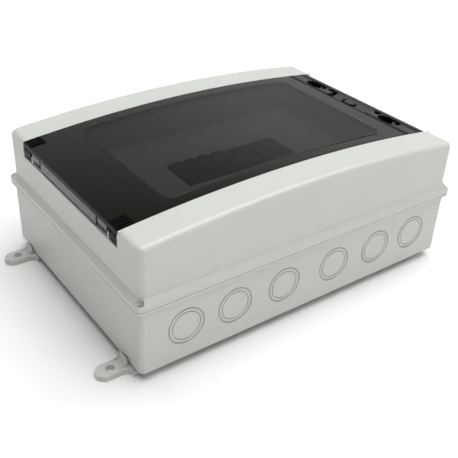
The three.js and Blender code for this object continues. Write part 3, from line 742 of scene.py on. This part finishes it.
def addDoor():
    d, h = door, hingeLine
    y = d["y"]
    body = addCrownBlock("door", (d["left"], d["right"]), (-y, y), d["low"], 0, d["thick"])
    f = d["field"]
    field = addCrownBlock("field", f["x"], (-f["y"], f["y"]), d["low"], -f["proud"], 1, f["corner"], 12)
    roundEdges(field, f["round"], 4, lambda edge: sharp(edge) and all(
        v.co.z > crownAt(v.co.x / mm, f["proud"] / 2) * mm for v in edge.verts))
    weldOn(body, field)
    # two thin ribs under the door beside the field's left edge, whose dark lines are painted shade of the
    # field's step
    r = d["shadeRib"]
    for x in r["columns"]:
        weldOn(body, addCrownBlock("shadeRib", (x - r["half"], x + r["half"]), (-r["y"], r["y"]), d["low"],
                                   d["thick"] - 1, d["thick"] + r["deep"]))
    k, e, r = d["skirt"], d["edge"], d["lockRail"]
    skirtX = (d["left"] + k["inset"], d["left"] + k["thick"])
    weldOn(body, addBlock("skirt", (skirtX[0], -k["long"], k["bottom"]), (skirtX[1], k["long"], doorTop)),
           addBlock("edgeBar", (d["left"], -y, k["top"]), (d["left"] + e["bar"], y, doorTop)),
           addBlock("edgeLip", (tray["right"] + e["lip"], -y, lockShelf["z"] + e["up"]),
                    (d["right"], y, doorTop + 1)),
           addBlock("lockRail", (r["x"][0], -r["y"], r["bottom"]), (r["x"][1], r["y"], doorTop + r["up"]),
                    r["corner"], 4))
    for sy in (-1, 1):
        y0, y1 = span(sy, *k["short"])
        weldOn(body, addBlock("skirt", (skirtX[0], y0, k["shortBottom"]), (skirtX[1], y1, doorTop)))
        a, o = d["arm"], d["hollow"]
        y0, y1 = span(sy, *a["y"])
        arm = addAcross("arm", a["knuckle"], (h["x"], h["z"]), (y0, y1), 48)
        weldOn(arm, addBlock("armWeb", (d["left"] + a["inset"], y0, h["z"]),
                             (h["x"] + a["right"], y1, doorTop)))
        for row in o["rows"]:      # hollows between the ribs of the arm
            y0, y1 = span(sy, row - o["half"], row + o["half"])
            cutAway(arm, addBlock("hollow", (d["left"] - over, y0, h["z"] + o["up"]),
                                  (d["left"] + o["deep"], y1, doorTop - o["down"])))
        weldOn(body, arm)
        cutAway(body, addAcross("pinHole", h["bore"], (h["x"], h["z"]), span(sy, *h["hole"]), 24))
        y0, y1 = span(sy, *d["earRoom"]["y"])
        cutAway(body, addBlock("earRoom", (d["left"] - over, y0, d["low"]),
                               (h["x"] + d["earRoom"]["right"], y1, h["z"] + d["earRoom"]["up"])))
        p, b = d["patch"], d["bead"]
        weldOn(body, addCrownBlock("patch", p["x"], span(sy, *p["y"]), d["low"], -p["proud"], 1,
                                   p["corner"], 3))
        for row in b["rows"]:   # stiffening beads over the arm
            weldOn(body, addCrownBlock("bead", b["x"], span(sy, row - b["half"], row + b["half"]), d["low"],
                                       -b["proud"], 1))
    return body


def cutLock(body):
    # oval finger wells, the half round grip between them, a pocket at each end of the grip, and an eye
    # for a seal in the middle of it
    w, p, g, i = (door[part] for part in ("well", "pocket", "grip", "eye"))
    x = closing["x"]
    for sy in (-1, 1):
        at = (x, sy * closing["y"])
        oval = addPost("oval", 1, at, w["floor"], ceiling, 64)
        stretch(oval, (w["halfX"], w["halfY"], 1), (*at, 0))
        roundEdges(oval, w["foot"], 4, atHeight(w["floor"], 60))
        y0, y1 = span(sy, *p["y"])
        pocket = addBlock("pocket", (p["x"][0], y0, p["floor"]), (p["x"][1], y1, ceiling), p["corner"], 5)
        cutAway(body, oval, pocket, addPost("bore", w["bore"], at, door["low"], ceiling))
    cutAway(body, addAcross("grip", g["radius"], (x, g["z"]), (-g["y"], g["y"]), 96))
    centre = (x + i["off"], i["y"], i["z"])
    eye = addRing("sealEye", i["radius"], i["thick"], centre, around=48, across=10)
    stretch(eye, i["stretch"], centre)
    cutAway(eye, addBlock("eyeGap", (x + i["gap"], -g["y"], door["low"]), (crownReach, g["y"], ceiling)))
    return weldOn(body, eye)


def paintHinge(panel):
    # the arms, the patches over them and the panel's edge are opaque black, and the grip is grained, in a
    # lighter grey that paints the grip's sheen
    d, p, g = door, door["patch"], door["grip"]
    panel.data.materials.append(blackPlastic)
    panel.data.materials.append(grainedPlasticWithPaintedSheen)
    edge = d["skirt"]["top"] - 0.1
    for face in panel.data.polygons:
        x, y, z = face.center / mm
        onArm = x < -188 and 85.8 < abs(y) < 102.2 and z < edge + 4
        onEdge = x < d["left"] + 0.5 and z > edge
        onPatch = x < p["x"][1] + 0.05 and abs(y) > p["y"][0] - 0.1 and z > crownAt(x, -0.02)
        axis = math.hypot(x - closing["x"], z - g["z"])
        onWall = abs(axis - g["radius"]) < 0.25
        inGrip = abs(y) < g["y"] + 0.1 and onWall
        isEye = x > 160 and abs(y) < 18 and not onWall and z > 145.5 and axis < g["radius"]
        if onArm or onEdge or onPatch or isEye:
            face.material_index = 1
        elif inGrip:
            face.material_index = 2


def finishDoor():
    body = cutLock(addDoor())
    softenEdges(body, 0.35, 2, 40)
    paintHinge(finishPiece(body, doorPlastic, "door", "door"))


closingScrew = {"head": 6.6, "bottom": 139.2, "top": 143.5, "round": 0.8, "flutes": 12, "fluteAt": 7.1,
                "flute": 0.9, "shank": 3, "shankBottom": 125, "key": (6.8, 1.5), "keyBottom": 124,
                "keyTop": 126.6, "keyCorner": 0.7, "slot": (5, 0.8), "slotFloor": 141.8, "slotCorner": 0.5}
hingePin = {"y": (82.7, 107.1), "round": 0.35}


def addClosingScrew(side, sy):
    s = closingScrew
    at = (closing["x"], sy * closing["y"])
    head = addPost("closingScrew_" + side, s["head"], at, s["bottom"], s["top"], 64)
    roundEdges(head, s["round"], 4, atHeight(s["top"], 60))
    for turn in range(s["flutes"]):          # finger flutes round the rim
        angle = (turn + 0.5) * 2 * math.pi / s["flutes"]
        centre = (at[0] + s["fluteAt"] * math.cos(angle), at[1] + s["fluteAt"] * math.sin(angle))
        cutAway(head, addPost("flute", s["flute"], centre, s["bottom"] - over, s["top"] + over, 16))
    weldOn(head, addPost("shank", s["shank"], at, s["shankBottom"], s["bottom"] + s["round"]),
           addCentred("key", s["key"], s["keyBottom"], s["keyTop"], s["keyCorner"], 3, at))
    cutAway(head, addCentred("slot", s["slot"], s["slotFloor"], s["top"] + over, s["slotCorner"], 3, at))
    softenEdges(head, 0.15, 2)
    return finishPiece(head, devicePlastic, "closing_screw_" + side, "closing_screw_" + side)


def addHingePin(side, sy):
    h = hingeLine
    pin = addAcross("hingePin_" + side, h["pin"], (h["x"], h["z"]), span(sy, *hingePin["y"]), 32)
    roundEdges(pin, hingePin["round"], 3, verySharp)
    return finishPiece(pin, zincSteel, "cover", "hinge_pin_" + side)


finishDoor()
for side, sy in sides:
    addClosingScrew(side, sy)
    addHingePin(side, sy)
print("door is hung")

# screws, lugs and seals

lug = {"x": 201.6, "gap": 0.3, "tip": 233.5, "halfWidth": 9.5, "y": 111.5, "thick": 6.5, "chamfer": 6,
       "hole": 4.1, "holeX": 218.5, "lead": 1.2, "screwX": 184, "bore": 2.8, "sink": 5.6, "sinkDeep": 3.6,
       "left": 172, "root": 8, "rootRound": 2, "endRound": 1.2, "topRound": 0.9, "padTop": 9.2, "padIn": 1.5,
       "tongueHalf": 6.5, "tongueTop": 14.5, "tongueFoot": 1.9, "tongueGap": 1}

# seat height, head radius and height, shank radius, the height the shank ends at, and the drive
screws = {
    "lug": (3.4, 5.2, 2.6, 2.1, 21.5, "cross"),
    "cover": (89.5, 2.8, 2.6, 2.2, 83.8, "socket"),
    "rail": (54.1, 4, 2.4, 1.7, 40, "cross"),
    "terminal": (101.6, 2.6, 1.2, 1.4, 100.6, "cross"),
    "clamp": (44.1, 3.2, 2, 1.7, 41, "slot"),
    "earth": (44.2, 3.8, 2.4, 1.7, 24, "cross"),
}
recess = {"half": 0.45, "reach": 0.62, "depth": 1.4, "socket": 1.75}


def addScrew(name, at, kind):
    # a head that stands on its seat, a shank down to its end, and a slot, a cross or a six-sided socket
    seat, radius, height, shank, end, drive = screws[kind]
    up = 1 if end < seat else -1
    top = seat + up * height
    body = addPost(name, radius, at, seat, top, 48)
    roundEdges(body, min(0.7, height / 3), 4, atHeight(top, 60))
    weldOn(body, addPost("shank", shank, at, seat + up * 0.4, end, 24))
    if drive == "socket":
        return cutAway(body, addPost("socket", recess["socket"], at, seat - over, top + over, 6))
    z0, z1 = sorted((top - up * min(recess["depth"], height / 2), top + up * over))
    arm, half = radius * recess["reach"], recess["half"]
    cutAway(body, addCentred("slot", (arm, half), z0, z1, at=at))
    if drive == "cross":
        cutAway(body, addCentred("slot", (half, arm), z0, z1, at=at))
    return body


def addLugMaster():
    g = lug
    face = g["x"] + g["gap"]
    tab = addBlock("lug", (face - 4, -g["halfWidth"], 0), (g["tip"], g["halfWidth"], g["thick"]))
    for width, steps, back in ((g["chamfer"], 1, 1), (g["endRound"], 3, g["chamfer"] + 2)):
        roundEdges(tab, width, steps, lambda e: upright(e) and e.verts[0].co.x > (g["tip"] - back) * mm)
    wide = g["halfWidth"] + g["root"]
    root = addBlock("root", (g["left"], -wide, 0), (face + g["root"], wide, g["thick"]))
    roundEdges(root, g["rootRound"], 4, lambda e: upright(e) and e.verts[0].co.x < (g["left"] + 1) * mm)
    for sy in (-1, 1):
        at = (face + g["root"], sy * wide)
        cutAway(root, addPost("hollow", g["root"], at, -over, g["thick"] + over, 64))
    weldOn(tab, root)
    level = atHeight(g["thick"], 60)
    roundEdges(tab, g["topRound"], 3, lambda e: level(e) and all(v.co.x > (face - 0.5) * mm for v in e.verts))
    weldOn(tab, addBlock("pad", (g["left"], -wide, g["thick"] - over),
                         (g["x"] - g["padIn"], wide, g["padTop"]), g["padIn"], 3))
    bend = g["tongueTop"] - g["thick"]
    out = face + bend + g["tongueFoot"]
    half = g["tongueHalf"]
    tongue = addBlock("tongue", (face, -half, g["thick"] - 1.5), (out, half, g["tongueTop"]))
    cutAway(tongue, addAcross("curve", bend, (out, g["tongueTop"]), (-wide, wide), 96),
            addBlock("gap", (face - over, -wide, g["thick"] + 1), (face + g["tongueGap"], wide, 20)))
    weldOn(tab, tongue)
    at, bored = (g["holeX"], 0), (g["screwX"], 0)
    lead = g["lead"] / 2
    cutAway(tab, addPost("hole", g["hole"], at, -over, g["thick"] + over, 48),
            addPost("lead", g["hole"], at, g["thick"] - lead, g["thick"] + lead, 48, g["hole"] + g["lead"]),
            addPost("hole", g["bore"], bored, -over, g["padTop"] + over),
            addPost("sink", g["sink"], bored, -over, g["sinkDeep"], 48))
    softenEdges(tab, 0.25, 2)
    return tab


def addLugs():
    master = addLugMaster()
    for corner, sx, sy in corners:
        turn = Matrix.Rotation(math.pi if sx < 0 else 0, 4, "Z")
        piece = copyTo(master, "wallLug_" + corner, Matrix.Translation((0, sy * lug["y"] * mm, 0)) @ turn)
        finishPiece(piece, shellPlastic, "root", "wall_lug_" + corner)
        screw = addScrew("lugScrew_" + corner, (sx * lug["screwX"], sy * lug["y"]), "lug")
        finishPiece(screw, zincSteel, "root", "lug_screw_" + corner)
    bpy.data.objects.remove(master)


def addCoverScrews():
    for corner, sx, sy in corners:
        at = (sx * shell["screw"]["x"], sy * shell["screw"]["y"])
        screw = addScrew("coverScrew_" + corner, at, "cover")
        finishPiece(screw, shellPlastic, "cover", "cover_screw_" + corner)


addLugs()
addCoverScrews()
finishCopy("cover_gasket", "coverSeal", sealRubber, "root", 0.3)
finishCopy("door_gasket", "doorSeal", sealRubber, "cover", 0.3)
print("lugs, screws and seals are on")

# the rail and what is clipped on it

rail = {"top": 60.5, "depth": 7.5, "slot": (9, 3.1), "slotPitch": 25, "slotsEachWay": 3, "fixing": 100}
support = {"x": (4.5, 9), "y": (4.5, 10.5), "bottom": 20, "top": 48}
modules = {"terminalY": 42.5, "terminalZ": 82, "funnel": 5.6, "funnelDeep": 1.2, "screwY": 35.5,
           "shoulder": 104.5, "way": 3.3, "wayTop": 4.3, "wayDeep": 3.4,
           "fusePoles": (-63, -45, -27, -9), "breakerPoles": (9, 27), "surgePoles": (45, 63)}
fuse = {"z": 108.5, "barrel": 4.75, "barrelY": (-13.8, 19.8), "cap": 5.1,
        "caps": ((-14.2, -4.6), (10.6, 20.2)), "capRound": 0.7, "plated": 0.1,
        "label": (6, 2), "labelY": 27.5, "labelFloor": 103.9,
        "grip": (5.6, 16.2, 21.8, 122.8, 123.35), "mark": (4.5, 6), "markY": -2, "markFloor": 119.4}
breaker = {"middle": 18, "seam": 0.2, "front": (8.5, 22), "frontFloor": 119.9, "back": 61.5}
surge = {"window": (3.2, 2.8), "y": 5, "floor": 119.3, "top": 120.3, "gap": 0.2, "corner": 0.7,
         "grip": (6.5, -15, -6, 120.3, 120.85)}
earth = {"half": (56, 5), "y": 104, "bottom": 34, "top": 44, "fixing": 51.5, "ways": 10, "spacing": 9.4,
         "wireUp": 5, "wire": 2.6, "clamp": 1.9, "hole": 2.3, "round": 0.6}


def addRail():
    piece = copyNode("din_rail", "dinRail")
    back = rail["top"] - rail["depth"]
    for step in range(-rail["slotsEachWay"], rail["slotsEachWay"] + 1):
        cutAway(piece, addCentred("slot", rail["slot"], back - over, back + 3, rail["slot"][1] - 0.02, 8,
                                  (step * rail["slotPitch"], 0)))
    softenEdges(piece, 0.3, 2)
    finishPiece(piece, zincSteel, "root", "din_rail")
    for end, sx in ends:
        x = sx * rail["fixing"]
        post = copyNode("rail_support_" + end, "railSupport_" + end)
        for sy in (-1, 1):      # hollow moulded flanks
            y0, y1 = span(sy, *support["y"])
            for side in (-1, 1):
                x0, x1 = span(side, *support["x"])
                cutAway(post, addBlock("hollow", (x + x0, y0, support["bottom"]),
                                       (x + x1, y1, support["top"]), 1, 3))
        softenEdges(post, 0.6)
        finishPiece(post, devicePlastic, "root", "rail_support_" + end)
        screw = addScrew("railScrew_" + end, (x, 0), "rail")
        finishPiece(screw, zincSteel, "root", "rail_screw_" + end)
        finishCopy("end_stop_" + end, "endStop_" + end, devicePlastic, "root", 0.7)


def carveTerminals(body, poles):
    # a funnel round each conductor mouth and a rounded way down to its screw
    m = modules
    for x in poles:
        for sy in (-1, 1):
            y0, y1 = span(sy, m["terminalY"] - m["funnelDeep"], m["terminalY"] + over)
            cutAway(body, addBlock("funnel", (x - m["funnel"], y0, m["terminalZ"] - m["funnel"]),
                                   (x + m["funnel"], y1, m["terminalZ"] + m["funnel"])),
                    addPost("way", m["way"], (x, sy * m["screwY"]), m["shoulder"] - m["wayDeep"],
                            m["shoulder"] + over, tip=m["wayTop"]))


def addGrip(body, x, lines, count):
    # small raised lines for a finger
    half, y0, y1, z0, z1 = lines
    for step in range(count):
        y = y0 + (y1 - y0) * ((step + 0.5) / count)
        weldOn(body, addBlock("grip", (x - half, y - 0.35, z0), (x + half, y + 0.35, z1)))


def addFuseWays():
    f = fuse
    base = copyNode("fuse_base_1", "fuseBaseMaster")
    x = modules["fusePoles"][0]
    carveTerminals(base, [x])
    for sy in (1, -1):
        cutAway(base, addCentred("labelBed", f["label"], f["labelFloor"], modules["shoulder"] + over, 0.5, 3,
                                 (x, sy * f["labelY"])))
    softenEdges(base, 0.45)
    handle = copyNode("fuse_drawer_1", "fuseDrawerMaster")
    addGrip(handle, x, f["grip"], 4)
    cutAway(handle, addCentred("markBed", f["mark"], f["markFloor"], 122, 0.6, 3, (x, f["markY"])))
    softenEdges(handle, 0.4)
    tube = addAcross("fuseTube", f["barrel"], (x, f["z"]), f["barrelY"], 48)
    for y in f["caps"]:
        cap = addAcross("cap", f["cap"], (x, f["z"]), y, 48)
        roundEdges(cap, f["capRound"], 3, verySharp)
        weldOn(tube, cap)
    middle = (f["caps"][0][1] - f["plated"], f["caps"][1][0] + f["plated"])
    for number, pole in enumerate(modules["fusePoles"], 1):
        shift = Matrix.Translation(((pole - x) * mm, 0, 0))
        drawer = "fuse_drawer_%d" % number
        finishPiece(copyTo(base, "fuseBase_%d" % number, shift), devicePlastic, "root",
                    "fuse_base_%d" % number)
        finishPiece(copyTo(handle, "fuseHandle_%d" % number, shift), devicePlastic, drawer, drawer)
        link = finishPiece(copyTo(tube, "fuseBarrel_%d" % number, shift), ceramicGlaze, drawer,
                           "fuse_link_%d" % number)
        link.data.materials.append(nickelCap)
        for face in link.data.polygons:     # the ends are nickel plated, the middle is ceramic
            face.material_index = 0 if middle[0] * mm < face.center.y < middle[1] * mm else 1
    for master in (base, handle, tube):
        bpy.data.objects.remove(master)


def addBreaker():
    b = breaker
    body = copyNode("breaker_body", "breakerCase")
    carveTerminals(body, modules["breakerPoles"])
    low, high = b["middle"] - b["seam"], b["middle"] + b["seam"]
    cutAway(body, addBlock("seam", (low, -60, 60), (high, 60, b["back"])),
            addBlock("seam", (low, -b["front"][1], b["frontFloor"]), (high, -b["front"][0], 121)),
            addBlock("seam", (low, b["front"][0], b["frontFloor"]), (high, b["front"][1], 121)))
    softenEdges(body, 0.45)
    finishPiece(body, devicePlastic, "root", "breaker_body")
    finishCopy("breaker_toggle", "breakerLever", leverBlue, "breaker_toggle", 0.6, 3, 40)


def addSurgeArrester():
    s = surge
    body = copyNode("surge_arrester_base", "surgeBase")
    carveTerminals(body, modules["surgePoles"])
    softenEdges(body, 0.45)
    finishPiece(body, devicePlastic, "root", "surge_arrester_base")
    for number, x in enumerate(modules["surgePoles"], 1):
        cartridge = "surge_cartridge_%d" % number
        plug = copyNode(cartridge, "surgePlug_%d" % number)
        bed = [half + s["gap"] for half in s["window"]]
        cutAway(plug, addCentred("windowBed", bed, s["floor"], 122, 0.8, 4, (x, s["y"])))
        addGrip(plug, x, s["grip"], 5)
        softenEdges(plug, 0.5)
        finishPiece(plug, leverBlue, cartridge, cartridge)
        pane = addCentred("statusWindow_%d" % number, s["window"], s["floor"] + 0.1, s["top"], s["corner"], 4,
                          (x, s["y"]))
        softenEdges(pane, 0.25)
        finishPiece(pane, indicatorGreen, cartridge)


def addTerminalScrews():
    poles = modules["fusePoles"] + modules["breakerPoles"] + modules["surgePoles"]
    heads = [addScrew("screw", (x, sy * modules["screwY"]), "terminal") for x in poles for sy in (-1, 1)]
    finishPiece(joinLoose("terminalScrews", heads), zincSteel, "root")


def addBars():
    for name in ("positive", "negative"):
        finishCopy(name + "_busbar", name + "Busbar", bareCopper, "root", 0.3, 2)
    e = earth
    bar = addCentred("earthBar", e["half"], e["bottom"], e["top"], at=(0, e["y"]))
    roundEdges(bar, e["round"], 3, verySharp)
    heads = []
    wireZ = e["bottom"] + e["wireUp"]
    wireY = [e["y"] + sy * (e["half"][1] + over) for sy in (-1, 1)]
    for step in range(e["ways"]):
        x = (step - (e["ways"] - 1) / 2) * e["spacing"]
        cutAway(bar, addAcross("wireHole", e["wire"], (x, wireZ), wireY),
                addPost("screwHole", e["clamp"], (x, e["y"]), wireZ, e["top"] + over, 24))
        heads.append(addScrew("screw", (x, e["y"]), "clamp"))
    for end, sx in ends:
        at = (sx * e["fixing"], e["y"])
        cutAway(bar, addPost("fixingHole", e["hole"], at, e["bottom"] - over, e["top"] + over))
        finishCopy("earth_bar_stand_" + end, "earthBarStand_" + end, devicePlastic, "root", 0.8)
        screw = addScrew("earthBarScrew_" + end, at, "earth")
        finishPiece(screw, zincSteel, "root", "earth_bar_screw_" + end)
    finishPiece(bar, turnedBrass, "root", "earth_bar")
    finishPiece(joinLoose("earthClampScrews", heads), turnedBrass, "root")


addRail()
addFuseWays()
addBreaker()
addSurgeArrester()
addTerminalScrews()
addBars()
print("rail and modules are fitted")
